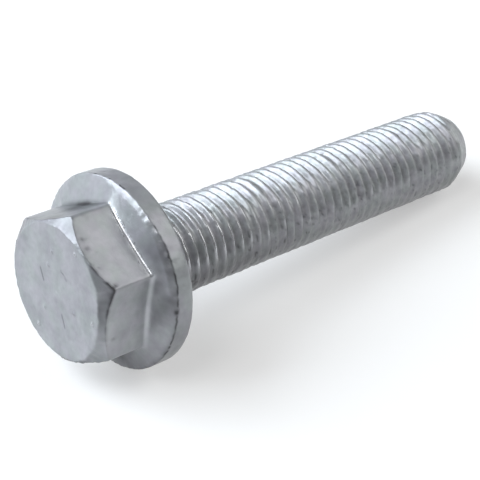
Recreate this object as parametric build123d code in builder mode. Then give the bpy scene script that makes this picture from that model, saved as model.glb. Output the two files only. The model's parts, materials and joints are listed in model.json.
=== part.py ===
from build123d import *
from math import asin, atan, atan2, cos, degrees, hypot, radians, sin, tan
import os

# A hexagon head screw with flange, threaded up to the head and hot-dip galvanised.
# The head is forged and the thread is rolled on one blank, so it is one solid.
# Lengths are in millimetres and angles in degrees.

# Thread: metric, coarse pitch, right-handed
thread_diameter = 16.0
thread_pitch = 2.0
thread_depth = 1.227
crest_flat = 0.25
flank_angle = 30.0
shank_length = 80.0
neck_diameter = 14.7
neck_length = 5.0
thread_turn = 54.0

# End of the thread, tapered so that a nut starts on it
tip_taper_length = 4.4
tip_diameter = 12.0
tip_edge_radius = 0.5

# Hexagon
side_count = 6
width_across_flats = 24.0
head_height = 14.5
hex_corner_radius = 0.9
hex_turn = 3.1
top_circle_inset = 0.2
head_chamfer_angle = 43.0
head_chamfer_bulge = 0.06

# Flange
flange_diameter = 34.0
rim_height = 3.8
flange_cone_angle = 24.5
flange_reach_in = 1.0
rim_front_radius = 0.9
rim_bearing_radius = 0.7
hex_root_radius = 0.8
underhead_radius = 0.6

# Cutter for the thread groove
cutter_overreach = 0.12
turns_per_cut = 6.0
turns_in_last_cut = 7.0
turns_past_tip = 1.0
runout_turns = 1.5
runout_rise = 1.35

# Radii and angles that follow from them
full_turn = 360.0
half_turn = full_turn / 2
half_side_angle = half_turn / side_count
thread_radius = thread_diameter / 2
root_radius = thread_radius - thread_depth
neck_radius = neck_diameter / 2
tip_radius = tip_diameter / 2
flange_radius = flange_diameter / 2
flat_radius = width_across_flats / 2
corner_radius = flat_radius / cos(radians(half_side_angle))
top_circle_radius = flat_radius - top_circle_inset

# The screw is first modelled upright: the bearing face under the flange is on the
# XY plane, the shank rises along +Z and the head hangs below it. Turned profiles
# are drawn on a plane that meets a flat of the hexagon in its middle.
profile_turn = radians(hex_turn + half_side_angle)
profile_plane = Plane(
    origin=(0, 0, 0),
    x_dir=(cos(profile_turn), sin(profile_turn), 0),
    z_dir=(sin(profile_turn), -cos(profile_turn), 0),
)

# Flange: a rim with a conical top that runs into the hexagon
flange_inner_radius = flat_radius - flange_reach_in
cone_rise = (flange_radius - flange_inner_radius) * tan(radians(flange_cone_angle))
flange_top = rim_height + cone_rise

# The flange stands out round the hexagon's corners by a ledge, which the radii beside
# it share
round_corner_reach = corner_radius - hex_corner_radius * (1 / cos(radians(half_side_angle)) - 1)
ledge_width = flange_radius - round_corner_reach
rim_front_fillet = min(rim_front_radius, ledge_width / 2)
hex_root_fillet = min(hex_root_radius, ledge_width / 2)
with BuildPart() as flange:
    with BuildSketch(profile_plane):
        with BuildLine():
            Polyline(
                (0, 0),
                (flange_radius, 0),
                (flange_radius, -rim_height),
                (flange_inner_radius, -flange_top),
                (0, -flange_top),
                close=True,
            )
        make_face()
    revolve(axis=Axis.Z)
    rim_circles = flange.edges().filter_by(GeomType.CIRCLE).group_by(Edge.length)[-1]
    bearing_circle = rim_circles.sort_by(Axis.Z)[-1]
    front_circle = rim_circles.sort_by(Axis.Z)[0]
    fillet(bearing_circle, radius=rim_bearing_radius)
    fillet(front_circle, radius=rim_front_fillet)

# Hexagon: its corners are turned off at the top of the head by a cone. The cone bulges
# by less than the photo can show, only so that its edges on the flats are no
# hyperbolas, at which the tools' fit check crashed
corner_drop = (corner_radius - top_circle_radius) * tan(radians(head_chamfer_angle))
top_circle_point = (top_circle_radius, -head_height)
chamfer_foot = (corner_radius, -head_height + corner_drop)
with BuildPart() as hexagon:
    with BuildSketch(Plane.XY.offset(-head_height)) as hexagon_outline:
        RegularPolygon(radius=corner_radius, side_count=side_count, rotation=hex_turn)
        fillet(hexagon_outline.vertices(), radius=hex_corner_radius)
    extrude(amount=head_height - rim_height)
    with BuildSketch(profile_plane):
        with BuildLine():
            SagittaArc(top_circle_point, chamfer_foot, head_chamfer_bulge)
            Polyline(chamfer_foot, (corner_radius, 0), (0, 0), (0, -head_height), top_circle_point)
        make_face()
    revolve(axis=Axis.Z, mode=Mode.INTERSECT)

# Shank: a neck under the head, the thread's outer diameter and a tapered end
neck_step = thread_radius - neck_radius
with BuildPart() as shank:
    with BuildSketch(Plane.XZ):
        with BuildLine():
            Polyline(
                (0, -rim_height),
                (neck_radius, -rim_height),
                (neck_radius, neck_length),
                (thread_radius, neck_length + neck_step),
                (thread_radius, shank_length - tip_taper_length),
                (tip_radius, shank_length),
                (0, shank_length),
                close=True,
            )
        make_face()
    revolve(axis=Axis.Z)
    tip_circle = shank.edges().filter_by(GeomType.CIRCLE).sort_by(Axis.Z)[-1]
    fillet(tip_circle, radius=tip_edge_radius)

# Blank: the three joined, with the forged radii between them
with BuildPart() as blank:
    add(flange.part)
    add(hexagon.part)
    hex_root_edges = new_edges(flange.part, hexagon.part, combined=blank.part)
    fillet(hex_root_edges, radius=hex_root_fillet)
    head_only = blank.part
    add(shank.part)
    underhead_edges = new_edges(head_only, shank.part, combined=blank.part)
    fillet(underhead_edges, radius=underhead_radius)

# Thread groove: a V with a flat root, swept along a right-handed helix. It is cut
# a few turns at a time, and the last cut starts on the full thread and runs out
# past the tip.
flank_slope = tan(radians(flank_angle))
groove_half_mouth = (thread_pitch - crest_flat) / 2 + cutter_overreach * flank_slope
groove_half_root = (thread_pitch - crest_flat) / 2 - thread_depth * flank_slope
cutter_radius = thread_radius + cutter_overreach
groove_start = neck_length + neck_step
groove_turns = (shank_length - groove_start) / thread_pitch + turns_past_tip
full_cuts = max(1, int((groove_turns - turns_in_last_cut) / turns_per_cut))
even_turns = (groove_turns - turns_in_last_cut) / full_cuts
cut_turns = [even_turns] * full_cuts + [turns_in_last_cut]


def groove_corners(side, height):
    """Corners of the groove's section, at a height, on side +1 or -1 of the axis."""
    return [
        (side * cutter_radius, height - groove_half_mouth),
        (side * cutter_radius, height + groove_half_mouth),
        (side * root_radius, height + groove_half_root),
        (side * root_radius, height - groove_half_root),
    ]


def groove_cutter(start, turns):
    """A stretch of the groove, from its start height towards the tip."""
    with BuildPart() as cutter:
        with BuildLine() as helix:
            Helix(
                pitch=thread_pitch,
                height=turns * thread_pitch,
                radius=thread_radius,
                center=(0, 0, start),
            )
        with BuildSketch(Plane.XZ):
            with BuildLine():
                Polyline(groove_corners(1, start), close=True)
            make_face()
        sweep(path=helix.line, is_frenet=True)
    return cutter.part


def runout_cutter(start):
    """The groove's shallow end, from its start height towards the head."""
    runout_height = runout_turns * thread_pitch
    with BuildPart() as cutter:
        with BuildLine() as helix:
            Helix(
                pitch=thread_pitch,
                height=runout_height,
                radius=thread_radius,
                center=(0, 0, start),
                direction=(0, 0, -1),
                cone_angle=degrees(atan(runout_rise / runout_height)),
            )
        with BuildSketch(Plane.XZ):
            with BuildLine():
                Polyline(groove_corners(-1, start), close=True)
            make_face()
        sweep(path=helix.line, is_frenet=True)
    return cutter.part


runout = runout_cutter(groove_start)
cut_starts = [groove_start + thread_pitch * sum(cut_turns[:index]) for index in range(len(cut_turns))]
grooves = [groove_cutter(start, turns) for start, turns in zip(cut_starts, cut_turns)]

with BuildPart() as upright_screw:
    add(blank.part)
    add(runout, rotation=(0, 0, thread_turn + half_turn), mode=Mode.SUBTRACT)
    for start, groove in zip(cut_starts, grooves):
        groove_turn = thread_turn + full_turn * (start - groove_start) / thread_pitch
        add(groove, rotation=(0, 0, groove_turn), mode=Mode.SUBTRACT)

# Rest: the screw lies on the rounded edge of its flange and on the last full thread,
# so its tip dips. The dip is the tangent line under those two circles.
contact_span = shank_length - tip_taper_length + rim_bearing_radius
contact_rise = flange_radius - rim_bearing_radius - thread_radius
dip = atan2(contact_rise, contact_span) + asin(rim_bearing_radius / hypot(contact_span, contact_rise))
resting_plane = Plane(
    origin=(0, 0, 0),
    x_dir=(sin(dip), 0, cos(dip)),
    z_dir=(cos(dip), 0, -sin(dip)),
)
with BuildPart(resting_plane) as hex_flange_screw:
    add(upright_screw.part)

os.makedirs("parts", exist_ok=True)
hex_flange_screw.part.label = "hex_flange_screw"
export_step(hex_flange_screw.part, "parts/hex_flange_screw.step")
print("dip of the tip", round(degrees(dip), 3), "degrees")
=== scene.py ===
"""A hot-dip galvanised hexagon screw with flange, lying on a pale floor.

The screw is drawn upright in millimetres: the bearing face under the flange is at height
zero, the shank rises and the head hangs below. It is then laid along the frame's axis.
"""

import json
from itertools import product
from math import atan2, cos, pi, radians, sin, tan

import bpy
import numpy as np
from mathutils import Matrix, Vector


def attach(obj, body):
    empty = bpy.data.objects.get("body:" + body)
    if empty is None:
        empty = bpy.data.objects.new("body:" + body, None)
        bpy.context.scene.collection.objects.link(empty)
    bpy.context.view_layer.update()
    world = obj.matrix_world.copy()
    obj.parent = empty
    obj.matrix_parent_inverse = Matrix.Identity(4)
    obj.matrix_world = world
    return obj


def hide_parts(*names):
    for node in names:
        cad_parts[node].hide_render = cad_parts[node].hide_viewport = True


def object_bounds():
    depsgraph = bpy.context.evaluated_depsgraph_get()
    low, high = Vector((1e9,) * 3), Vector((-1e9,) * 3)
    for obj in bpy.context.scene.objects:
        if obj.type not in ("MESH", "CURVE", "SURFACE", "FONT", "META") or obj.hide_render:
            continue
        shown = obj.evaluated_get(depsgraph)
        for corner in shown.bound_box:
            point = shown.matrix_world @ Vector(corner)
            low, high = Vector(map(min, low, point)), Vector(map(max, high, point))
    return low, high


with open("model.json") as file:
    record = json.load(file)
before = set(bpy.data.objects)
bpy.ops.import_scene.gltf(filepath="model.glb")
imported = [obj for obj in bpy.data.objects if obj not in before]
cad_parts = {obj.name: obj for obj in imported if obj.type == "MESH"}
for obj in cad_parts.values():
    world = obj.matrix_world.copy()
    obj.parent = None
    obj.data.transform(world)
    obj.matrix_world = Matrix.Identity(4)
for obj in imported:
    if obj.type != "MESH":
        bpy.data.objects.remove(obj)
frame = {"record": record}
cad_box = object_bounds()

MM = 0.001
FULL_TURN = 2 * pi
SIDES = 6
HALF_SIDE = pi / SIDES

# Head and flange
FLAT_RADIUS = 12.0
CORNER_ROUNDING = 0.8
HEAD_HEIGHT = 14.46
TOP_CIRCLE_RADIUS = 11.8
CHAMFER_SLOPE = tan(radians(43))
FLANGE_RADIUS = 16.93
RIM_HEIGHT = 3.8
CONE_SLOPE = tan(radians(24.5))
TOP_EDGE_MARGIN = 0.12
TOP_EDGE_ROUNDING = 0.35
CHAMFER_FOOT_ROUNDING = 0.35
HEX_ROOT_ROUNDING = 0.8
ROOT_STRAIGHTER = 0.8
RIM_FRONT_ROUNDING = 0.35
RIM_EDGE_REACH = 0.8
RIM_SEAM_REACH = 1.1
RIM_BEARING_ROUNDING = 0.7

# Unevenness of the forging, each round an angle with a half width in degrees
CHAMFER_DEEPER = 0.55
CHAMFER_DEEPER_AT = (97.0, 22.0)
RIM_LOWER = 0.6
RIM_SOFTER = 0.7
RIM_LOWER_AT = (64.0, 34.0)
TOP_EDGE_IN = 0.95
TOP_EDGE_SOFTER = 1.6
TOP_EDGE_SOFTER_AT = (88.0, 36.0)

# Shank and thread
THREAD_RADIUS = 7.97
THREAD_DEPTH = 1.05
PITCH = 2.0
CREST_HALF_WIDTH = 0.17
FLANK_SLOPE = 1 / tan(radians(30))
FIRST_CREST_HEIGHT = 6.35
NECK_RADIUS = 7.35
NECK_END = 5.3
NECK_STEP = 0.65
THREAD_FADE_IN = (4.4, 1.3)
NECK_FADE = 1.5
UNDERHEAD_ROUNDING = 0.6
SHANK_LENGTH = 79.9
TAPER_START = 75.6
TIP_RADIUS = 5.95
TIP_ROUNDING = 0.5
TIP_DISH = 0.05

# Where the separately made stretches of the surface begin and end
TOP_INNER_SHARE = 0.52
TOP_CENTRE_SHARE = 0.5
TOP_CENTRE_END = 0.4
BEARING_INNER_RADIUS = 12.5
NECK_RING_RADIUS = 12.0
NECK_TOP = 3.0
TIP_START = SHANK_LENGTH - 0.7
TIP_INNER_RADIUS = 0.3
SHANK_MARGIN = 0.05

# How finely the surface is divided
CORNER_STEPS = 5
CORNER_ZONE = radians(3)
FLAT_STEPS = 25
TOP_CENTRE_ANGLES = 120
TOP_CENTRE_ROWS = 20
SHANK_ANGLES = 120
ROUNDING_STEPS = 5
LONGEST_REACH = 0.48
SHORTEST_NORMAL = 1e-12
HEAD_LINE_STEPS = (32, 5, 20, 9, 2, 5, 5, 2)
NECK_LINE_STEPS = (8, 4)
TIP_LINE_STEPS = (2, 14)
ROW_OFFSETS = (0.0, 0.14, 0.33, 0.57, 0.82, 1.0, 1.18, 1.43, 1.67, 1.86)
SPARE_TURNS = 2

# Sides of the shank, each round an angle with a half width in degrees
TIP_FILLED_AT = (100.0, 52.0)
LOW_SIDE = (125.0, 46.0)
# Painted shade on the lower side and the underside, painted glints on the crests and the tip's edge, and
# painted shade on the tip's lower side
SHADED_SIDE = (104.0, 44.0)
UNDERSIDE = (165.0, 35.0)
GLINTS = (50.0, 32.0)
TIP_GLINT = (12.0, 30.0)
TIP_SHADED = (85.0, 45.0)

# Noise in the zinc comes as waves or as patches. Both have the size of their features and
# the number of their seed. Waves then have their strength, and patches have the gain and
# the lift that turn the noise into a share from 0 to 1.
SEED = 4711

# Stretches start at a value and are full after a length, which may run downward
NEAR_TIP = (67.0, 6.0)
SHADE_NEAR_HEAD = (42.0, -25.0)
OFF_TIP = (75.0, -45.0)
BRIGHT_NEAR_HEAD = (36.0, -14.0)
FIRST_RIDGES = (18.0, -8.0)

# Zinc on the thread: how far it fills a groove, runs in it and chips off a crest
SHANK_WAVES = (2.6, 0, 0.045)
SHANK_GRAIN = (0.7, 1, 0.045)
FILL_WAVES = (4.5, 2, 1.6)
FILL_THRESHOLD = 0.45
FILL_LOW_SIDE = 2.1
FILL_NEAR_TIP = 1.3
ZINC_FILL = 0.68
LOW_FILL = 0.85
TIP_FILL_SHARE = 0.6
RUN_STRETCH = (1.0, 1.0, 1.6)
RUN_PATCHES = (1.3, 3, 1.0, -0.25)
RUN_RISE = 0.3
CHIP_PATCHES = (0.9, 4, 1.0, -0.3)
CHIP_DEPTH = 0.3
NECK_WAVES = (2.6, 13, 0.03)
TIP_WAVES = (1.5, 14, 0.05)

# Lumps on the shank: angle, height, size and rise
SHANK_LUMPS = ((44.0, 34.5, 0.55, 0.4), (25.0, 33.5, 1.6, 0.35), (9.0, 12.0, 0.5, 0.25))

# Plain lumps and scratches in the zinc on top of the head, in a layout of their own: where
# each starts and ends (upward, across), half width, rise and how dark it is
HEAD_MARKS = (
    ((4.0, -2.5), (4.0, -2.3), 0.25, 0.3, 0.0),
    ((-4.5, -3.0), (-4.3, -3.0), 0.25, 0.25, 0.0),
    ((-1.5, 4.5), (-1.5, 4.8), 0.25, 0.35, 0.0),
    ((9.5, 4.5), (9.3, 4.5), 0.2, 0.3, 0.0),
    ((-8.5, -4.5), (-8.3, -4.5), 0.25, 0.3, 0.0),
    ((-1.0, 9.5), (-0.8, 9.5), 0.2, 0.25, 0.0),
    ((7.0, -1.5), (6.8, -1.5), 0.2, 0.2, 0.0),
    ((2.5, -4.5), (0.5, -3.5), 0.15, -0.06, 0.6),
    ((-3.5, 1.5), (-5.5, 2.5), 0.15, -0.05, 0.5),
    ((4.5, 1.0), (3.5, 2.5), 0.15, -0.05, 0.5),
)
MARK_THICKNESS = 0.2
MARK_BRIGHT_RISE = 0.2
MARK_SHINE = 0.8

# Pits on the head's sides and flange: angle, radius, height, size and how dark
HEAD_SPOTS = (
    (20.0, 12.3, -13.0, 0.35, 0.5),
    (28.0, 12.1, -13.0, 0.4, 0.5),
    (45.0, 12.4, -13.0, 0.2, 0.5),
    (60.0, 13.6, -12.0, 0.4, 0.8),
    (68.0, 13.3, -14.0, 0.3, 0.6),
    (106.0, 12.3, -12.0, 0.35, 0.4),
    (80.0, 14.1, -5.1, 0.2, 0.8),
    (92.0, 14.1, -5.1, 0.2, 0.8),
    (86.0, 16.9, -3.5, 0.4, 0.8),
    (-15.0, 16.9, -2.5, 0.2, 0.7),
    (35.0, 16.9, -4.0, 0.3, 0.5),
)
SPOT_DEPTH = 0.15

# Zinc on the head: its waves and grain, uneven edges, beads and lumps
TOP_EDGE_WAVES = (1.3, 21, 0.12)
TOP_EDGE_GRAIN = (0.5, 22, 0.09)
RIM_EDGE_WAVES = (1.9, 5, 0.1)
RIM_EDGE_GRAIN = (0.55, 6, 0.12)
HEAD_WAVES = (3.4, 7, 0.045)
HEAD_GRAIN = (0.9, 8, 0.016)
BEAD_PATCHES = (0.8, 9, 1.0, 0.1)
BEAD_RISE = 0.07
BEAD_PLACE = -0.15
BEAD_WIDTH = 0.35
RIM_GRAIN = (0.8, 23, 0.035)
FOOT_LUMPS = (0.7, 10, 1.0, -0.1)
FOOT_LUMP_RISE = 0.2
FOOT_LUMP_WIDTH = 0.35

# Zones of the head: over which stretch each one sets in
RIM_ZONE = (-1.2, 0.6)
PAST_EDGE = (0.0, 0.3)
OFF_HEXAGON = (0.2, 0.6)
PAST_TOP_EDGE = (-0.1, 0.4)

# The hexagon's sides that are seen, in degrees
LOWER_SIDE = 93.1
UPPER_SIDE = 33.1
LEFT_SIDE = -26.9

# Painted shade and light on the head: how much darker each zone is painted, and more round
# some angles; below 0 it is painted lighter (zone, angle, half width, how much darker)
TOP_PAINTED_SHADE = 0.18
ZONE_PAINTED_SHADE = {"corner": 0.12, "side": 0.1, "cone": 0.12, "rim": 0.12}
PAINTED_SHADE_AND_LIGHT = (
    ("corner", 3.1, 25.0, 0.32),
    ("corner", 70.0, 32.0, 0.72),
    ("corner", -110.0, 62.0, 0.75),
    ("corner", 178.0, 40.0, 0.9),
    ("side", LEFT_SIDE, 26.0, 0.6),
    ("side", LOWER_SIDE, 26.0, -0.13),
    ("cone", 69.0, 30.0, 0.5),
    ("cone", 165.0, 30.0, 0.55),
    ("cone", -48.0, 24.0, 0.15),
    ("cone", 105.0, 60.0, 0.1),
    ("rim", 100.0, 55.0, 0.2),
    ("rim", 58.0, 22.0, -0.2),
    ("rim", 165.0, 30.0, 0.3),
)
SHADE_BLOTCH_LIFT = 0.85
SHADE_BLOTCH_WAVES = (2.6, 18, 0.5)
SHADE_BLOTCH_MOST = 1.3

# Smudges, specks, seams and a painted root shade: noise, where they are, how dark and how wide
SMUDGE_PATCHES = (1.5, 25, 1.8, -0.3)
SMUDGE_DARK = 0.09
MOTTLE_WAVES = (0.6, 26, 0.05)
RIM_SPECKS = (0.6, 11, 2.5, -0.6)
RIM_SEAM = (0.9, 17, 1.2, 0.55)
RIM_SEAM_AT = (78.0, 32.0)
RIM_SEAM_PLACE = 0.1
RIM_SEAM_DARK = 0.8
RIM_SEAM_WIDTH = 0.15
RIM_LOW_SEAM_AT = (118.0, 22.0)
RIM_LOW_SEAM_DARK = 0.35
RIM_LOW_SEAM_WIDTH = 0.3
FOOT_SEAM = (0.8, 12, 1.1, 0.45)
FOOT_SEAM_AT = (52.0, 16.0)
FOOT_SEAM_FAINTER_AT = (82.0, 16.0)
FOOT_SEAM_FAINTER = 0.5
FOOT_SEAM_DARK = 0.75
FOOT_SEAM_WIDTH = 0.28
ROOT_SHADE_AT = (LEFT_SIDE, 24.0)
ROOT_SHADE_PLACE = 0.2
ROOT_SHADE_DARK = 0.4
ROOT_SHADE_WIDTH = 0.45

# Zinc pooled at the hexagon's root, with a painted highlight: crisp on one side and soft on the next
ROOT_PATCHES = (1.1, 20, 0.5, 0.85)
CRISP_ROOT_AT = (UPPER_SIDE + 2, 29.0)
CRISP_ROOT_GAIN = 2.1
CRISP_ROOT_WIDTH = 1.0
CRISP_ROOT_SHINE = 0.88
SOFT_ROOT_AT = (LOWER_SIDE + 6, 22.0)
SOFT_ROOT_WIDTH = 0.9
SOFT_ROOT_SHINE = 0.3

# Crumbs of zinc along the rim's upper edge, with a painted highlight on them
FROST_AT = (38.0, 26.0)
FROST_ZONE = (-2.0, 0.8)
FROST_PATCHES = (0.38, 24, 2.4, -0.5)
FROST_PLACE = -0.25
FROST_WIDTH = 0.4
FROST_SHINE = 0.4

# Specks, painted shade low on the shank and tip, and rubbed crests with painted glints
SHANK_SPECKS = (0.6, 15, 2.2, -1.1)
SPECK_DARK = 0.6
SIDE_SHADE_DARK = 0.3
SIDE_SHADE_DARKER = 0.35
UNDERSIDE_DARK = 0.3
RUBBED_PATCHES = (1.5, 16, 1.5, 0.6)
GLINT_SHINE = 0.4
GLINT_BRIGHTER = 0.6
GLINT_BRIGHTEST = 0.5
GLINT_WIDTH = 0.18
GLINT_WIDER = 0.16
TIP_GLINT_PLACE = -0.35
TIP_GLINT_WIDTH = 0.2
TIP_SHADE_DARK = 0.35

# Dark pits on the shank: angle, height and size
SHANK_PITS = (
    (-13.0, 11.0, 0.35),
    (2.0, 22.0, 0.3),
    (-20.0, 37.0, 0.3),
    (5.0, 45.0, 0.25),
    (-8.0, 58.0, 0.3),
    (0.0, 66.0, 0.35),
    (30.0, 71.0, 0.3),
    (-25.0, 74.5, 0.4),
    (12.0, 75.5, 0.3),
)

# Zinc's colour, linear: on the head, and duller on the thread
ZINC_METALLIC = 0.35
HEAD_DARK = (0.345, 0.355, 0.378)
HEAD_MIDDLE = (0.41, 0.42, 0.444)
HEAD_LIGHT = (0.475, 0.487, 0.51)
THREAD_DARK = (0.34, 0.35, 0.367)
THREAD_MIDDLE = (0.42, 0.43, 0.45)
THREAD_LIGHT = (0.51, 0.52, 0.54)
ZINC_GREEN = (0.982, 1.012, 0.98)
ZINC_PURPLE = (1.012, 0.985, 1.01)
# A dark colour for stains and painted shade, and a light one below for rubbed zinc and painted highlights
ZINC_STAIN_AND_SHADE = (0.06, 0.06, 0.065)
ZINC_BRIGHT_AND_HIGHLIGHT = (0.62, 0.63, 0.65)
ZINC_ROUGHNESS = (0.27, 0.40)
SHINE_METALLIC = 0.9
SHINE_ROUGHNESS = 0.2
TONE_STOPS = (0.3, 0.5, 0.7)
HUE_STOPS = (0.38, 0.5, 0.62)

# Textures of the zinc
CLOUDS = {"Scale": 210.0, "Detail": 4.0, "Roughness": 0.6}
GRAIN = {"Scale": 1500.0, "Detail": 3.0, "Roughness": 0.6}
TINT = {"Scale": 330.0, "Detail": 2.0}
BLOTCHES = {"Scale": 700.0, "Detail": 3.0, "Roughness": 0.65}
FINE_BUMP = {"Strength": 0.5, "Distance": 0.00006}
COARSE_BUMP = {"Strength": 0.5, "Distance": 0.00025}

# A Mix node's sockets, for numbers and for colours
NUMBER_INPUTS = (2, 3)
NUMBER_OUTPUT = 0
COLOUR_INPUTS = (6, 7)
COLOUR_OUTPUT = 2

# Floor and light. A softbox has a name, azimuth, elevation, half angle, radiance and
# colour, and looks at the middle of the screw.
FLOOR_COLOUR = 0.55
FLOOR_WHITE = 1.0
SHADOW_LIFT = 0.4
FLOOR_REACH = 4.0
WORLD_COLOUR = (0.16, 0.16, 0.162)
SCREW_MIDDLE = (0.035, 0.0, 0.0)
SOFTBOX_DISTANCE = 1.2
SOFTBOXES = (
    ("left_softbox", 137.0, 38.0, 25.0, 5.1, (0.925, 1.0, 1.07)),
    ("top_softbox", 198.0, 56.0, 10.0, 5.0, (1.0, 1.0, 1.0)),
    ("right_softbox", -38.0, 40.0, 23.0, 1.6, (1.0, 1.0, 0.98)),
)

# Camera at the photograph's viewing angle
SENSOR_WIDTH = 36.0
FOCAL_LENGTH = 110.65
CAMERA_PLACE = (-0.11777, -0.15933, 0.14486)
CAMERA_AZIMUTH = 48.13
CAMERA_DIP = 35.31
NEAREST_SEEN = 0.01


# Where the screw lies
mounts = {mount["name"]: mount for mount in frame["record"]["mounts"]}
origin = np.array(mounts["bearing_face"]["pos_m"])
along = np.array(mounts["bearing_face"]["axis"])
across = np.array((0.0, -1.0, 0.0))
upward = np.cross(across, along)
flat_normal = np.array(mounts["wrench_flat_left"]["axis"])
first_corner = atan2(flat_normal @ across, flat_normal @ upward) + HALF_SIDE


def laid_down(points):
    """Points of the upright screw in millimetres, at their place in the scene in metres."""
    return origin + MM * (points @ np.array((upward, across, along)))


def around(angles, radii, heights):
    """Points from angles, radii and heights about the screw's axis."""
    angles, radii, heights = np.broadcast_arrays(angles, radii, heights)
    return np.stack([radii * np.cos(angles), radii * np.sin(angles), heights], axis=-1)


def lattice_noise(points, size, seed):
    """Smooth noise from -1 to 1 whose features are about that size."""
    scaled = points / size
    cell = np.floor(scaled).astype(np.int64)
    part = scaled - cell
    ease = part * part * (3 - 2 * part)
    total = np.zeros(points.shape[:-1])
    for corner in product((0, 1), repeat=3):
        step = np.array(corner)
        mixed = (cell + step) @ np.array((73856093, 19349663, 83492791)) + seed * 2654435761
        mixed = (mixed ^ (mixed >> 13)) * 1274126177 & 0x7FFFFFFF
        mixed = (mixed ^ (mixed >> 15)) * 2246822519 & 0x7FFFFFFF
        weight = np.prod(np.where(step == 1, ease, 1 - ease), axis=-1)
        total += weight * (mixed / 0x3FFFFFFF - 1)
    return total


def waves(points, size, number, strength):
    """Noise that rises and falls by a strength."""
    return strength * lattice_noise(points, size, SEED + number)


def patches(points, size, number, gain, lift):
    """Noise turned into patches from 0 to 1."""
    return np.clip(gain * lattice_noise(points, size, SEED + number) + lift, 0, 1)


def ramp(values, start, length):
    """From 0 at the start to 1 after a length."""
    return np.clip((values - start) / length, 0, 1)


def fade(distance, width):
    """1 where there is no distance, and softly down to 0 past a width."""
    return np.exp(-((distance / width) ** 2))


def hexagon_radius(angles):
    """Distance from the axis to the hexagon's side, with its corners rounded."""
    from_corner = np.abs((angles - first_corner + HALF_SIDE) % (2 * HALF_SIDE) - HALF_SIDE)
    on_flat = FLAT_RADIUS / np.cos(HALF_SIDE - from_corner)
    centre = (FLAT_RADIUS - CORNER_ROUNDING) / cos(HALF_SIDE)
    on_arc = centre * np.cos(from_corner) + np.sqrt(
        np.maximum(CORNER_ROUNDING**2 - (centre * np.sin(from_corner)) ** 2, 0)
    )
    arc_end = atan2(CORNER_ROUNDING * sin(HALF_SIDE), centre + CORNER_ROUNDING * cos(HALF_SIDE))
    return np.where(from_corner < arc_end, on_arc, on_flat)


def head_angles():
    """Angles for the head's rows, closest together at the hexagon's corners."""
    corner = np.linspace(0, CORNER_ZONE, CORNER_STEPS, endpoint=False)
    flat = np.linspace(CORNER_ZONE, HALF_SIDE, FLAT_STEPS + 1)
    half = np.concatenate([corner, flat])
    side = np.concatenate([half, 2 * HALF_SIDE - half[1:-1][::-1]])
    return np.concatenate([first_corner + 2 * HALF_SIDE * k + side for k in range(SIDES)])


def rounded_rows(path, roundings, line_steps):
    """Rows of (radius, height) along a path with rounded corners.

    path has one (radius, height) for each corner and angle; the first and the last corner
    are the ends of the path. A rounding of 0 leaves a corner bare.
    """
    rows = [path[0]]
    for index, rounding in enumerate(roundings, start=1):
        back = path[index - 1] - path[index]
        ahead = path[index + 1] - path[index]
        back_length = np.linalg.norm(back, axis=-1, keepdims=True)
        ahead_length = np.linalg.norm(ahead, axis=-1, keepdims=True)
        turned = -(back * ahead).sum(-1, keepdims=True) / (back_length * ahead_length)
        reach = rounding * np.tan(np.arccos(np.clip(turned, -1, 1)) / 2)
        reach = np.minimum(reach, LONGEST_REACH * np.minimum(back_length, ahead_length))
        arc_start = path[index] + back / back_length * reach
        arc_end = path[index] + ahead / ahead_length * reach
        start = rows[-1]
        for t in np.linspace(0, 1, line_steps[index - 1] + 1)[1:]:
            rows.append(start + (arc_start - start) * t)
        arc_steps = ROUNDING_STEPS if np.any(rounding) else 0
        for t in np.linspace(0, 1, arc_steps + 1)[1:]:
            rows.append((1 - t) ** 2 * arc_start + 2 * t * (1 - t) * path[index] + t**2 * arc_end)
    start = rows[-1]
    for t in np.linspace(0, 1, line_steps[-1] + 1)[1:]:
        rows.append(start + (path[-1] - start) * t)
    return np.array(rows)


class Surface:
    """A closed mesh that is put together ring by ring."""

    def __init__(self):
        self.points = []
        self.looks = []
        self.faces = []
        self.count = 0

    def add_points(self, points, thread=0.0, stain_and_shade=0.0, bright_zinc_and_highlight=0.0):
        """Adds points with their looks, each from 0 to 1, and returns their indices."""
        looks = np.broadcast_arrays(thread, stain_and_shade, bright_zinc_and_highlight, points[..., 0])[:3]
        self.looks.append(np.stack([look.ravel() for look in looks], axis=-1))
        self.points.append(points.reshape(-1, 3))
        indices = np.arange(self.count, self.count + self.points[-1].shape[0])
        self.count += len(indices)
        return indices.reshape(points.shape[:-1])

    def join_rows(self, first, second):
        """Faces between two rings with as many points as each other."""
        for a, b, c, d in zip(first, np.roll(first, -1), np.roll(second, -1), second):
            self.add_face(a, b, c, d)

    def add_face(self, *corners):
        """A face, without the corners that fall together."""
        kept = [corner for k, corner in enumerate(corners) if corner != corners[k - 1]]
        if len(set(kept)) > 2:
            self.faces.append(kept)

    def zip_rings(self, first, first_angles, second, second_angles):
        """Triangles between two rings that have different numbers of points."""
        start = first_angles[0]
        order = np.argsort((second_angles - start) % FULL_TURN)
        second = second[order]
        turn_a = np.append((first_angles - start) % FULL_TURN, FULL_TURN)
        turn_b = (second_angles[order] - start) % FULL_TURN
        turn_b = np.append(turn_b, turn_b[0] + FULL_TURN)
        a, b = 0, 0
        while a < len(first) or b < len(second):
            here, there = first[a % len(first)], second[b % len(second)]
            if b == len(second) or (a < len(first) and turn_a[a + 1] <= turn_b[b + 1]):
                self.add_face(here, first[(a + 1) % len(first)], there)
                a += 1
            else:
                self.add_face(here, second[(b + 1) % len(second)], there)
                b += 1

    def close(self, ring, centre, thread=0.0):
        """A fan from a ring to one point."""
        index = int(self.add_points(np.array([centre]), thread)[0])
        for a, b in zip(ring, np.roll(ring, -1)):
            self.add_face(a, b, index)


def hump(angles, middle, half_width):
    """A soft hump from 0 to 1 round an angle; middle and half width are in degrees."""
    return fade((np.degrees(angles) - middle + 180) % 360 - 180, half_width)


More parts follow.
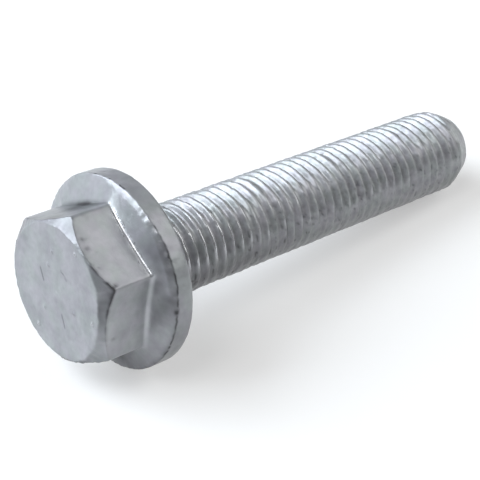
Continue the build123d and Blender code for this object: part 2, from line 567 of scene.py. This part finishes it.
def foot_height(angles):
    """Height of the edge where the turned-off corners meet the hexagon's sides."""
    even = -HEAD_HEIGHT + (hexagon_radius(angles) - TOP_CIRCLE_RADIUS) * CHAMFER_SLOPE
    return even + CHAMFER_DEEPER * hump(angles, *CHAMFER_DEEPER_AT)


def top_edge_radius(angles):
    """Radius of the uneven edge round the flat top of the head."""
    ring = around(angles, TOP_CIRCLE_RADIUS, 0)
    uneven = waves(ring, *TOP_EDGE_WAVES) + waves(ring, *TOP_EDGE_GRAIN)
    inward = TOP_EDGE_IN * hump(angles, *TOP_EDGE_SOFTER_AT)
    return TOP_CIRCLE_RADIUS - TOP_EDGE_MARGIN + uneven - inward


def root_height(angles):
    """Height of the hexagon's root on the flange, straighter than where the two would meet."""
    reach = hexagon_radius(angles)
    corner_reach = hexagon_radius(np.array(first_corner))
    out_to_rim = FLANGE_RADIUS - reach - ROOT_STRAIGHTER * (corner_reach - reach)
    return -RIM_HEIGHT - out_to_rim * CONE_SLOPE


def rim_edge_height(angles):
    """Height of the uneven edge where the flange's cone meets its rim."""
    ring = around(angles, FLANGE_RADIUS, 0)
    uneven = waves(ring, *RIM_EDGE_WAVES) + waves(ring, *RIM_EDGE_GRAIN)
    return -RIM_HEIGHT + RIM_LOWER * hump(angles, *RIM_LOWER_AT) + uneven


def head_rows(angles):
    """Rows from the top of the head, over the hexagon and the flange, to the bearing face."""
    reach = hexagon_radius(angles)
    rim_edge = rim_edge_height(angles)
    level = np.ones_like(angles)
    cone_end = -RIM_HEIGHT - RIM_EDGE_REACH * CONE_SLOPE
    path = np.array(
        [
            (TOP_CIRCLE_RADIUS * TOP_INNER_SHARE * level, -HEAD_HEIGHT * level),
            (top_edge_radius(angles), -HEAD_HEIGHT * level),
            (reach, foot_height(angles)),
            (reach, root_height(angles)),
            ((FLANGE_RADIUS - RIM_EDGE_REACH) * level, cone_end * level),
            (FLANGE_RADIUS * level, rim_edge),
            (FLANGE_RADIUS * level, rim_edge + RIM_SEAM_REACH),
            (FLANGE_RADIUS * level, 0 * level),
            (BEARING_INNER_RADIUS * level, 0 * level),
        ]
    ).transpose(0, 2, 1)
    softer_top = TOP_EDGE_SOFTER * hump(angles, *TOP_EDGE_SOFTER_AT)
    softer_rim = RIM_SOFTER * hump(angles, *RIM_LOWER_AT)
    roundings = (
        TOP_EDGE_ROUNDING + softer_top[:, None],
        CHAMFER_FOOT_ROUNDING,
        HEX_ROOT_ROUNDING,
        0,
        RIM_FRONT_ROUNDING + softer_rim[:, None],
        0,
        RIM_BEARING_ROUNDING,
    )
    return rounded_rows(path, roundings, HEAD_LINE_STEPS)


def crest_distance(angles, heights):
    """Distance along the axis from the nearest crest of the thread."""
    turns = (heights - FIRST_CREST_HEIGHT) / PITCH - angles / FULL_TURN
    return np.abs(turns - np.round(turns)) * PITCH


def thread_radius(angles, heights):
    """The threaded shank's radius at an angle and a height."""
    past_crest = crest_distance(angles, heights) - CREST_HALF_WIDTH
    depth = np.clip(past_crest * FLANK_SLOPE, 0, THREAD_DEPTH)
    return THREAD_RADIUS - depth * ramp(heights, *THREAD_FADE_IN)


def shank_envelope(heights):
    """The radius that no part of the thread stands out of."""
    taper = (THREAD_RADIUS - TIP_RADIUS) / (SHANK_LENGTH - TAPER_START)
    step = NECK_RADIUS + ramp(heights, NECK_END, NECK_STEP) * (THREAD_RADIUS - NECK_RADIUS)
    return np.minimum(step, THREAD_RADIUS - np.maximum(heights - TAPER_START, 0) * taper)


def shank_relief(points, angles, heights, room):
    """How far the zinc stands out of the bare thread, in millimetres.

    room is how deep the groove is there, and no more zinc than that fills it.
    """
    off_crest = crest_distance(angles, heights) / (PITCH / 2)
    low_side = hump(angles, *LOW_SIDE)
    near_tip = ramp(heights, *NEAR_TIP) * hump(angles, *TIP_FILLED_AT)
    filled = waves(points, *FILL_WAVES) - FILL_THRESHOLD
    filled = np.clip(filled + FILL_LOW_SIDE * low_side + FILL_NEAR_TIP * near_tip, 0, 1)
    fill = np.minimum(ZINC_FILL * filled * off_crest, room)
    relief = waves(points, *SHANK_WAVES) + waves(points, *SHANK_GRAIN)
    relief += fill + LOW_FILL * np.maximum(low_side, TIP_FILL_SHARE * near_tip) * (room - fill)
    relief += RUN_RISE * patches(points * RUN_STRETCH, *RUN_PATCHES) * off_crest
    relief -= CHIP_DEPTH * patches(points, *CHIP_PATCHES) * (1 - off_crest)
    for angle, height, size, rise in SHANK_LUMPS:
        relief += rise * spot_shape(points, angle, THREAD_RADIUS, height, size)
    return relief


def shank_stains_and_shade(points, angles, heights):
    """Specks and dark pits in the zinc of the shank, with painted shade on its lower side and underside,
    more near the head, from 0 to 1.
    """
    side_shade = SIDE_SHADE_DARK + SIDE_SHADE_DARKER * ramp(heights, *SHADE_NEAR_HEAD)
    underside = UNDERSIDE_DARK * ramp(heights, *OFF_TIP)
    stains_and_shade = patches(points, *SHANK_SPECKS) * SPECK_DARK
    stains_and_shade += side_shade * hump(angles, *SHADED_SIDE) + underside * hump(angles, *UNDERSIDE)
    for angle, height, size in SHANK_PITS:
        stains_and_shade += spot_shape(points, angle, THREAD_RADIUS, height, size)
    return np.clip(stains_and_shade, 0, 1)


def crest_rub_and_glint(points, angles, heights):
    """Where the thread's crests are rubbed bright, with painted glints round one angle, brighter near the
    head, from 0 to 1.
    """
    near_head = ramp(heights, *BRIGHT_NEAR_HEAD)
    first_ridges = ramp(heights, *FIRST_RIDGES)
    bright = GLINT_SHINE + GLINT_BRIGHTER * near_head + GLINT_BRIGHTEST * first_ridges
    strength = patches(points, *RUBBED_PATCHES) * (hump(angles, *GLINTS) * bright)
    width = GLINT_WIDTH + GLINT_WIDER * first_ridges
    return np.clip(strength, 0, 1) * fade(crest_distance(angles, heights), width)


def head_normals(rows):
    """Normals of the head's rows, outward."""
    down = np.gradient(rows, axis=0)
    round_about = np.roll(rows, -1, axis=1) - np.roll(rows, 1, axis=1)
    normals = np.cross(round_about, down)
    lengths = np.linalg.norm(normals, axis=-1, keepdims=True)
    return normals / np.maximum(lengths, SHORTEST_NORMAL)


def mark_shape(points, start, end, half_width):
    """How much of a mark on top of the head is at each point, from 0 to 1."""
    flat = points[..., :2] - start
    run = np.array(end) - start
    t = np.clip(flat @ run / (run @ run), 0, 1)
    distance = np.linalg.norm(flat - t[..., None] * run, axis=-1)
    on_top = points[..., 2] < -HEAD_HEIGHT + MARK_THICKNESS
    return fade(distance, half_width) * on_top


def from_axis(points):
    """Distance of points from the screw's axis."""
    return np.hypot(points[..., 0], points[..., 1])


def from_rim_edge(points, angles):
    """Height of points above the edge where the flange's cone meets its rim."""
    return points[..., 2] - rim_edge_height(angles)


def head_zones(points, angles):
    """How much of each point is on a turned-off corner, a side, the flange's cone and its rim."""
    radii = from_axis(points)
    past_foot = ramp(points[..., 2] - foot_height(angles), *PAST_EDGE)
    rim = ramp(from_rim_edge(points, angles), *PAST_EDGE)
    off_hexagon = ramp(radii - hexagon_radius(angles), *OFF_HEXAGON)
    past_top = ramp(radii - top_edge_radius(angles), *PAST_TOP_EDGE)
    return {
        "corner": past_top * (1 - past_foot),
        "side": past_foot * (1 - off_hexagon) * (1 - rim),
        "cone": off_hexagon * (1 - rim),
        "rim": rim,
    }


def edge_distance(points, angles, edge_height):
    """Distance from an edge that runs round the hexagon at that height."""
    return np.hypot(from_axis(points) - hexagon_radius(angles), points[..., 2] - edge_height)


def spot_shape(points, angle, radius, height, size):
    """How much of a round spot is at each point, from 0 to 1."""
    place = around(np.array(radians(angle)), np.array(radius), np.array(height))
    return np.exp(-(((points - place) / size) ** 2).sum(-1))


def head_relief(points, angles):
    """How far the zinc stands out of the bare head, in millimetres."""
    relief = waves(points, *HEAD_WAVES) + waves(points, *HEAD_GRAIN)
    for start, end, half_width, rise, _ in HEAD_MARKS:
        relief += rise * mark_shape(points, start, end, half_width)
    for *place, size, dark in HEAD_SPOTS:
        relief -= SPOT_DEPTH * dark * spot_shape(points, *place, size)
    on_rim = ramp(from_axis(points) - FLANGE_RADIUS, *RIM_ZONE)
    past_edge = from_rim_edge(points, angles)
    beads = patches(points, *BEAD_PATCHES) * fade(past_edge - BEAD_PLACE, BEAD_WIDTH)
    relief += BEAD_RISE * beads * on_rim
    relief += waves(points, *RIM_GRAIN) * on_rim * (past_edge > 0)
    lumps = patches(points, *FOOT_LUMPS)
    from_foot = edge_distance(points, angles, foot_height(angles))
    return relief + FOOT_LUMP_RISE * lumps * fade(from_foot, FOOT_LUMP_WIDTH)


def root_pool_and_highlight(points, angles):
    """Where zinc has pooled smooth at the hexagon's root, with a painted highlight, crisp on one side and
    soft on the next, from 0 to 1.
    """
    from_root = edge_distance(points, angles, root_height(angles))
    crisp = np.clip(CRISP_ROOT_GAIN * hump(angles, *CRISP_ROOT_AT), 0, 1) ** 3
    crisp = CRISP_ROOT_SHINE * crisp * fade(from_root, CRISP_ROOT_WIDTH)
    soft = SOFT_ROOT_SHINE * hump(angles, *SOFT_ROOT_AT) * fade(from_root, SOFT_ROOT_WIDTH)
    return patches(points, *ROOT_PATCHES) * np.maximum(crisp, soft)


def frost_and_highlight(points, angles):
    """Crumbs of zinc along the upper edge of the rim, with a painted highlight on them round one angle,
    from 0 to 1.
    """
    on_rim = ramp(from_axis(points) - FLANGE_RADIUS, *FROST_ZONE)
    beside_edge = fade(from_rim_edge(points, angles) - FROST_PLACE, FROST_WIDTH)
    crumbs = patches(points, *FROST_PATCHES) * hump(angles, *FROST_AT)
    return FROST_SHINE * crumbs * on_rim * beside_edge


def mark_rub_and_highlight(points):
    """Where raised marks on top of the head are rubbed bright, with a painted highlight on them, from 0
    to 1.
    """
    raised = [mark for mark in HEAD_MARKS if mark[3] > MARK_BRIGHT_RISE]
    return np.clip(sum(MARK_SHINE * mark_shape(points, *mark[:3]) for mark in raised), 0, 1)


def painted_shade_and_light(points, angles):
    """Painted shade and light on each part of the head: darker or lighter by zone and angle, made
    blotchy.
    """
    zones = head_zones(points, angles)
    blotchy = np.clip(SHADE_BLOTCH_LIFT + waves(points, *SHADE_BLOTCH_WAVES), 0, SHADE_BLOTCH_MOST)
    shaded = np.full(points.shape[:-1], TOP_PAINTED_SHADE)
    for zone, share in zones.items():
        shaded += share * (ZONE_PAINTED_SHADE[zone] - TOP_PAINTED_SHADE)
    for zone, middle, half_width, dark in PAINTED_SHADE_AND_LIGHT:
        # Each row paints the zinc darker round its angle, or lighter where its amount is below 0
        shaded += dark * blotchy * zones[zone] * hump(angles, middle, half_width)
    return shaded


def rim_seam(points, angles):
    """How dark the seam and its specks are where the flange's cone meets its rim."""
    on_rim = ramp(from_axis(points) - FLANGE_RADIUS, *RIM_ZONE)
    from_seam = from_rim_edge(points, angles) - RIM_SEAM_PLACE
    seam = patches(points, *RIM_SEAM) * hump(angles, *RIM_SEAM_AT)
    specks = np.maximum(patches(points, *RIM_SPECKS), seam)
    narrow = RIM_SEAM_DARK * specks * fade(from_seam, RIM_SEAM_WIDTH)
    wide = RIM_LOW_SEAM_DARK * hump(angles, *RIM_LOW_SEAM_AT) * fade(from_seam, RIM_LOW_SEAM_WIDTH)
    return on_rim * (narrow + wide)


def hexagon_seams_and_root_shade(points, angles):
    """How dark the seams are at the foot of the turned-off corners, with painted shade in the crease at
    the root.
    """
    from_foot = edge_distance(points, angles, foot_height(angles))
    from_root = edge_distance(points, angles, root_height(angles)) - ROOT_SHADE_PLACE
    along = hump(angles, *FOOT_SEAM_AT) + FOOT_SEAM_FAINTER * hump(angles, *FOOT_SEAM_FAINTER_AT)
    foot = FOOT_SEAM_DARK * patches(points, *FOOT_SEAM) * along * fade(from_foot, FOOT_SEAM_WIDTH)
    root = ROOT_SHADE_DARK * hump(angles, *ROOT_SHADE_AT) * fade(from_root, ROOT_SHADE_WIDTH)
    return foot + root


def head_stains_and_shade(points, angles):
    """Painted shade and light, dark pits, smudges and seams in the zinc of the head, from 0 to 1."""
    stains_and_shade = painted_shade_and_light(points, angles) + waves(points, *MOTTLE_WAVES)
    stains_and_shade += SMUDGE_DARK * patches(points, *SMUDGE_PATCHES)
    for start, end, half_width, _, dark in HEAD_MARKS:
        stains_and_shade += dark * mark_shape(points, start, end, half_width)
    for *place, size, dark in HEAD_SPOTS:
        stains_and_shade += dark * spot_shape(points, *place, size)
    stains_and_shade += rim_seam(points, angles) + hexagon_seams_and_root_shade(points, angles)
    return np.clip(stains_and_shade, 0, 1)


# Build the head
surface = Surface()
angles = head_angles()
profile = head_rows(angles)
bare = around(angles, profile[..., 0], profile[..., 1])
head = bare + head_normals(bare) * head_relief(bare, angles)[..., None]
# Pooled, rubbed and frosted zinc with painted highlights
head_bright_zinc_and_highlight = np.maximum(root_pool_and_highlight(bare, angles), mark_rub_and_highlight(bare))
head_bright_zinc_and_highlight = np.maximum(head_bright_zinc_and_highlight, frost_and_highlight(bare, angles))
rings = surface.add_points(head, stain_and_shade=head_stains_and_shade(bare, angles), bright_zinc_and_highlight=head_bright_zinc_and_highlight)
for lower, upper in zip(rings[:-1], rings[1:]):
    surface.join_rows(lower, upper)

# Middle of the head's top
centre_angles = np.arange(TOP_CENTRE_ANGLES) / TOP_CENTRE_ANGLES * FULL_TURN
centre_radii = np.linspace(TOP_CIRCLE_RADIUS * TOP_CENTRE_SHARE, TOP_CENTRE_END, TOP_CENTRE_ROWS)
bare = around(centre_angles[None, :], centre_radii[:, None], np.array(-HEAD_HEIGHT))
lift = np.zeros_like(bare)
lift[..., 2] = -head_relief(bare, centre_angles[None, :])
centre_rings = surface.add_points(bare + lift, stain_and_shade=head_stains_and_shade(bare, centre_angles[None, :]))
surface.zip_rings(centre_rings[0], centre_angles, rings[0], angles)
for outer, inner in zip(centre_rings[:-1], centre_rings[1:]):
    surface.join_rows(inner, outer)
surface.close(centre_rings[-1][::-1], (0, 0, -HEAD_HEIGHT))

# Bearing face, neck and the ring under the thread
shank_angles = np.arange(SHANK_ANGLES) / SHANK_ANGLES * FULL_TURN
level = np.ones(SHANK_ANGLES)
neck_path = np.array(
    [
        (NECK_RING_RADIUS * level, 0 * level),
        (NECK_RADIUS * level, 0 * level),
        (NECK_RADIUS * level, NECK_TOP * level),
    ]
).transpose(0, 2, 1)
neck_rows = rounded_rows(neck_path, (UNDERHEAD_ROUNDING,), NECK_LINE_STEPS)
bare = around(shank_angles, neck_rows[..., 0], neck_rows[..., 1])
neck_points = around(shank_angles, neck_rows[..., 0] + waves(bare, *NECK_WAVES), neck_rows[..., 1])
on_neck = np.clip((NECK_RADIUS + NECK_FADE - neck_rows[..., 0]) / NECK_FADE, 0, 1)
# Off the neck, the zinc takes the rim's painted shade
neck_rings = surface.add_points(neck_points, thread=on_neck, stain_and_shade=ZONE_PAINTED_SHADE["rim"] * (1 - on_neck))
surface.zip_rings(rings[-1], angles, neck_rings[0], shank_angles)
for lower, upper in zip(neck_rings[:-1], neck_rings[1:]):
    surface.join_rows(lower, upper)

# Tip
tip_path = np.array(
    [
        (shank_envelope(TIP_START) * level, TIP_START * level),
        (TIP_RADIUS * level, SHANK_LENGTH * level),
        (TIP_INNER_RADIUS * level, SHANK_LENGTH * level),
    ]
).transpose(0, 2, 1)
tip_rows = rounded_rows(tip_path, (TIP_ROUNDING,), TIP_LINE_STEPS)
bare = around(shank_angles, tip_rows[..., 0], tip_rows[..., 1])
sink = np.zeros_like(bare)
sink[..., 2] = -TIP_DISH - waves(bare, *TIP_WAVES)
# The tip's end gets a painted highlight on its edge round one angle and painted shade round another
on_edge = fade(bare[..., 2] - SHANK_LENGTH - TIP_GLINT_PLACE, TIP_GLINT_WIDTH)
tip_highlight = on_edge * hump(shank_angles, *TIP_GLINT)
tip_shade = TIP_SHADE_DARK * hump(shank_angles, *TIP_SHADED)
tip_rings = surface.add_points(bare + sink, thread=1.0, stain_and_shade=tip_shade, bright_zinc_and_highlight=tip_highlight)
for lower, upper in zip(tip_rings[:-1], tip_rings[1:]):
    surface.join_rows(lower, upper)
surface.close(tip_rings[-1], (0, 0, SHANK_LENGTH - TIP_DISH), thread=1.0)

# Threaded shank: rows that follow the helix, held between the neck and the tip
first_turn = int((NECK_TOP - FIRST_CREST_HEIGHT) / PITCH) - SPARE_TURNS
last_turn = int((TIP_START - FIRST_CREST_HEIGHT) / PITCH) + SPARE_TURNS
crests = FIRST_CREST_HEIGHT + PITCH * np.arange(first_turn, last_turn)
row_heights = (crests[:, None] + np.array(ROW_OFFSETS)).ravel()
heights = row_heights[:, None] + PITCH * shank_angles / FULL_TURN
grid_angles = np.broadcast_to(shank_angles, heights.shape)
free = (heights > NECK_TOP + SHANK_MARGIN) & (heights < TIP_START - SHANK_MARGIN)
envelope = shank_envelope(heights)
radii = np.minimum(thread_radius(grid_angles, heights), envelope)
bare = around(grid_angles, radii, heights)
radii = radii + shank_relief(bare, grid_angles, heights, envelope - radii)
grid = np.where(heights < TIP_START / 2, neck_rings[-1], tip_rings[0])
shank_points = around(grid_angles, radii, heights)
# Stains with painted shade, and rubbed crests with painted glints
stain_and_shade = shank_stains_and_shade(bare, grid_angles, heights)
bright_zinc_and_highlight = crest_rub_and_glint(bare, grid_angles, heights)
grid[free] = surface.add_points(shank_points[free], thread=1.0, stain_and_shade=stain_and_shade[free], bright_zinc_and_highlight=bright_zinc_and_highlight[free])
past_tip = np.full((len(ROW_OFFSETS), 1), tip_rings[0][0])
wrapped = np.concatenate([grid[len(ROW_OFFSETS):, :1], past_tip])
grid = np.concatenate([grid, wrapped], axis=1).tolist()
for lower, upper in zip(grid[:-1], grid[1:]):
    for a, b, c, d in zip(lower[:-1], lower[1:], upper[1:], upper[:-1]):
        surface.add_face(a, b, c, d)

# The finished mesh, kept inside the frame's box
points = laid_down(np.concatenate(surface.points))
points = np.clip(points, np.array(cad_box[0]), np.array(cad_box[1]))
mesh = bpy.data.meshes.new("zinc_coated_screw")
mesh.from_pydata(points.tolist(), [], surface.faces)
mesh.polygons.foreach_set("use_smooth", [True] * len(mesh.polygons))
for name, values in zip(("thread", "stain_and_shade", "bright_zinc_and_highlight"), np.concatenate(surface.looks).T):
    mesh.attributes.new(name, "FLOAT", "POINT").data.foreach_set("value", np.ascontiguousarray(values))
mesh.update()
mesh.validate()
screw = bpy.data.objects.new("zinc_coated_screw", mesh)
bpy.context.scene.collection.objects.link(screw)


# Materials
def add_node(tree, kind, inputs=None, **settings):
    """A new shader node, with its settings and unlinked inputs."""
    node = tree.nodes.new(kind)
    for name, value in settings.items():
        setattr(node, name, value)
    for name, value in (inputs or {}).items():
        node.inputs[name].default_value = value
    return node


def add_ramp(tree, source, stops):
    """A colour ramp on a value, from (position, colour) stops."""
    node = add_node(tree, "ShaderNodeValToRGB")
    elements = node.color_ramp.elements
    while len(elements) < len(stops):
        elements.new(0.5)
    for element, (position, colour) in zip(elements, stops):
        element.position = position
        element.color = (*colour, 1)
    tree.links.new(source, node.inputs["Fac"])
    return node.outputs["Color"]


def add_range(tree, source, limits):
    """A value from 0 to 1 turned into one between two limits."""
    spread = add_node(tree, "ShaderNodeMapRange", {"To Min": limits[0], "To Max": limits[1]})
    tree.links.new(source, spread.inputs["Value"])
    return spread.outputs["Result"]


def grey(value):
    return (value, value, value)


def new_material(name):
    material = bpy.data.materials.new(name)
    material.use_nodes = True
    tree = material.node_tree
    tree.nodes.clear()
    output = add_node(tree, "ShaderNodeOutputMaterial")
    return material, tree, output


def mix_colours(tree, factor, first, second, blend_type="MIX"):
    """A mix of two colours; each input is a socket or a plain value."""
    node = add_node(tree, "ShaderNodeMix", data_type="RGBA", blend_type=blend_type)
    sockets = (node.inputs["Factor"], *(node.inputs[index] for index in COLOUR_INPUTS))
    for socket, value in zip(sockets, (factor, first, second)):
        if isinstance(value, bpy.types.NodeSocket):
            tree.links.new(value, socket)
        else:
            socket.default_value = value
    return node.outputs[COLOUR_OUTPUT]


def zinc_material():
    """Hot-dip zinc: mottled light grey, satin, duller on the thread, with dark pits, painted shade and
    painted highlights.
    """
    material, tree, output = new_material("hot_dip_zinc")
    links = tree.links
    place = add_node(tree, "ShaderNodeTexCoord").outputs["Object"]
    shader = add_node(tree, "ShaderNodeBsdfPrincipled")
    links.new(shader.outputs["BSDF"], output.inputs["Surface"])

    clouds = add_node(tree, "ShaderNodeTexNoise", CLOUDS)
    grain = add_node(tree, "ShaderNodeTexNoise", GRAIN)
    tint = add_node(tree, "ShaderNodeTexNoise", TINT)
    blotches = add_node(tree, "ShaderNodeTexNoise", BLOTCHES)
    for texture in (clouds, grain, tint, blotches):
        links.new(place, texture.inputs["Vector"])

    head_stops = zip(TONE_STOPS, (HEAD_DARK, HEAD_MIDDLE, HEAD_LIGHT))
    thread_stops = zip(TONE_STOPS, (THREAD_DARK, THREAD_MIDDLE, THREAD_LIGHT))
    head_tone = add_ramp(tree, clouds.outputs["Fac"], tuple(head_stops))
    thread_tone = add_ramp(tree, blotches.outputs["Fac"], tuple(thread_stops))
    thread = add_node(tree, "ShaderNodeAttribute", attribute_name="thread").outputs["Fac"]
    tone = mix_colours(tree, thread, head_tone, thread_tone)
    hue_stops = zip(HUE_STOPS, (ZINC_GREEN, grey(1.0), ZINC_PURPLE))
    hue = add_ramp(tree, tint.outputs["Fac"], tuple(hue_stops))
    tinted = mix_colours(tree, 1.0, tone, hue, "MULTIPLY")
    # Stains and painted shade darken the zinc; rubbed zinc and painted highlights lighten it
    stain_and_shade = add_node(tree, "ShaderNodeAttribute", attribute_name="stain_and_shade").outputs["Fac"]
    stained_and_shaded = mix_colours(tree, stain_and_shade, tinted, (*ZINC_STAIN_AND_SHADE, 1))
    bright_zinc_and_highlight = add_node(tree, "ShaderNodeAttribute", attribute_name="bright_zinc_and_highlight").outputs["Fac"]
    brightened_and_highlit = mix_colours(tree, bright_zinc_and_highlight, stained_and_shaded, (*ZINC_BRIGHT_AND_HIGHLIGHT, 1))
    links.new(brightened_and_highlit, shader.inputs["Base Color"])

    satin = add_range(tree, grain.outputs["Fac"], ZINC_ROUGHNESS)
    gloss = add_node(tree, "ShaderNodeMix")
    links.new(bright_zinc_and_highlight, gloss.inputs["Factor"])
    links.new(satin, gloss.inputs[NUMBER_INPUTS[0]])
    gloss.inputs[NUMBER_INPUTS[1]].default_value = SHINE_ROUGHNESS
    links.new(gloss.outputs[NUMBER_OUTPUT], shader.inputs["Roughness"])
    links.new(add_range(tree, bright_zinc_and_highlight, (ZINC_METALLIC, SHINE_METALLIC)), shader.inputs["Metallic"])

    fine = add_node(tree, "ShaderNodeBump", FINE_BUMP)
    links.new(grain.outputs["Fac"], fine.inputs["Height"])
    coarse = add_node(tree, "ShaderNodeBump", COARSE_BUMP)
    links.new(clouds.outputs["Fac"], coarse.inputs["Height"])
    links.new(fine.outputs["Normal"], coarse.inputs["Normal"])
    links.new(coarse.outputs["Normal"], shader.inputs["Normal"])
    return material


def floor_material():
    """White matt floor, with a lightened shadow where it is seen, reflected or shone through."""
    material, tree, output = new_material("pale_floor")
    links = tree.links
    matt = add_node(tree, "ShaderNodeBsdfDiffuse")
    white = add_node(tree, "ShaderNodeEmission", {"Color": (*grey(1.0), 1), "Strength": 1.0})
    rays = add_node(tree, "ShaderNodeLightPath")
    seen = rays.outputs["Is Camera Ray"]
    for kind in ("Is Glossy Ray", "Is Transmission Ray"):
        either = add_node(tree, "ShaderNodeMath", operation="MAXIMUM")
        links.new(seen, either.inputs[0])
        links.new(rays.outputs[kind], either.inputs[1])
        seen = either.outputs["Value"]
    colour = mix_colours(tree, seen, (*grey(FLOOR_COLOUR), 1), (*grey(FLOOR_WHITE), 1))
    links.new(colour, matt.inputs["Color"])
    lift = add_node(tree, "ShaderNodeMath", operation="MULTIPLY")
    lift.inputs[1].default_value = SHADOW_LIFT
    links.new(seen, lift.inputs[0])
    choice = add_node(tree, "ShaderNodeMixShader")
    links.new(lift.outputs["Value"], choice.inputs["Fac"])
    links.new(matt.outputs["BSDF"], choice.inputs[1])
    links.new(white.outputs["Emission"], choice.inputs[2])
    links.new(choice.outputs["Shader"], output.inputs["Surface"])
    return material


screw.data.materials.append(zinc_material())
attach(screw, "root")
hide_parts("hex_flange_screw")

# Floor under the resting screw
floor_mesh = bpy.data.meshes.new("floor")
low = cad_box[0][2]
floor_corners = [(x * FLOOR_REACH, y * FLOOR_REACH, low) for x, y in ((-1, -1), (1, -1), (1, 1), (-1, 1))]
floor_mesh.from_pydata(floor_corners, [], [(0, 1, 2, 3)])
floor_mesh.materials.append(floor_material())
floor = bpy.data.objects.new("floor", floor_mesh)
bpy.context.scene.collection.objects.link(floor)

# Light
world = bpy.data.worlds.new("studio")
world.use_nodes = True
world.node_tree.nodes["Background"].inputs["Color"].default_value = (*WORLD_COLOUR, 1)
world.node_tree.nodes["Background"].inputs["Strength"].default_value = 1.0
bpy.context.scene.world = world


def add_softbox(name, azimuth, elevation, half_angle, radiance, colour):
    """A square area light that looks at the middle of the screw."""
    data = bpy.data.lights.new(name, "AREA")
    data.shape = "SQUARE"
    data.size = 2 * SOFTBOX_DISTANCE * tan(radians(half_angle))
    data.energy = radiance * pi * data.size**2
    data.color = colour
    softbox = bpy.data.objects.new(name, data)
    turn, rise = radians(azimuth), radians(elevation)
    away = Vector((cos(rise) * cos(turn), cos(rise) * sin(turn), sin(rise)))
    softbox.location = Vector(SCREW_MIDDLE) + SOFTBOX_DISTANCE * away
    softbox.rotation_euler = away.to_track_quat("Z", "Y").to_euler()
    bpy.context.scene.collection.objects.link(softbox)


for softbox in SOFTBOXES:
    add_softbox(*softbox)

# Camera
camera_data = bpy.data.cameras.new("camera")
camera_data.sensor_width = SENSOR_WIDTH
camera_data.lens = FOCAL_LENGTH
camera_data.clip_start = NEAREST_SEEN
camera = bpy.data.objects.new("camera", camera_data)
camera.location = CAMERA_PLACE
azimuth, dip = radians(CAMERA_AZIMUTH), radians(CAMERA_DIP)
view = Vector((cos(dip) * cos(azimuth), cos(dip) * sin(azimuth), -sin(dip)))
camera.rotation_euler = view.to_track_quat("-Z", "Y").to_euler()
bpy.context.scene.collection.objects.link(camera)
bpy.context.scene.camera = camera
bpy.context.scene.view_settings.view_transform = "Standard"
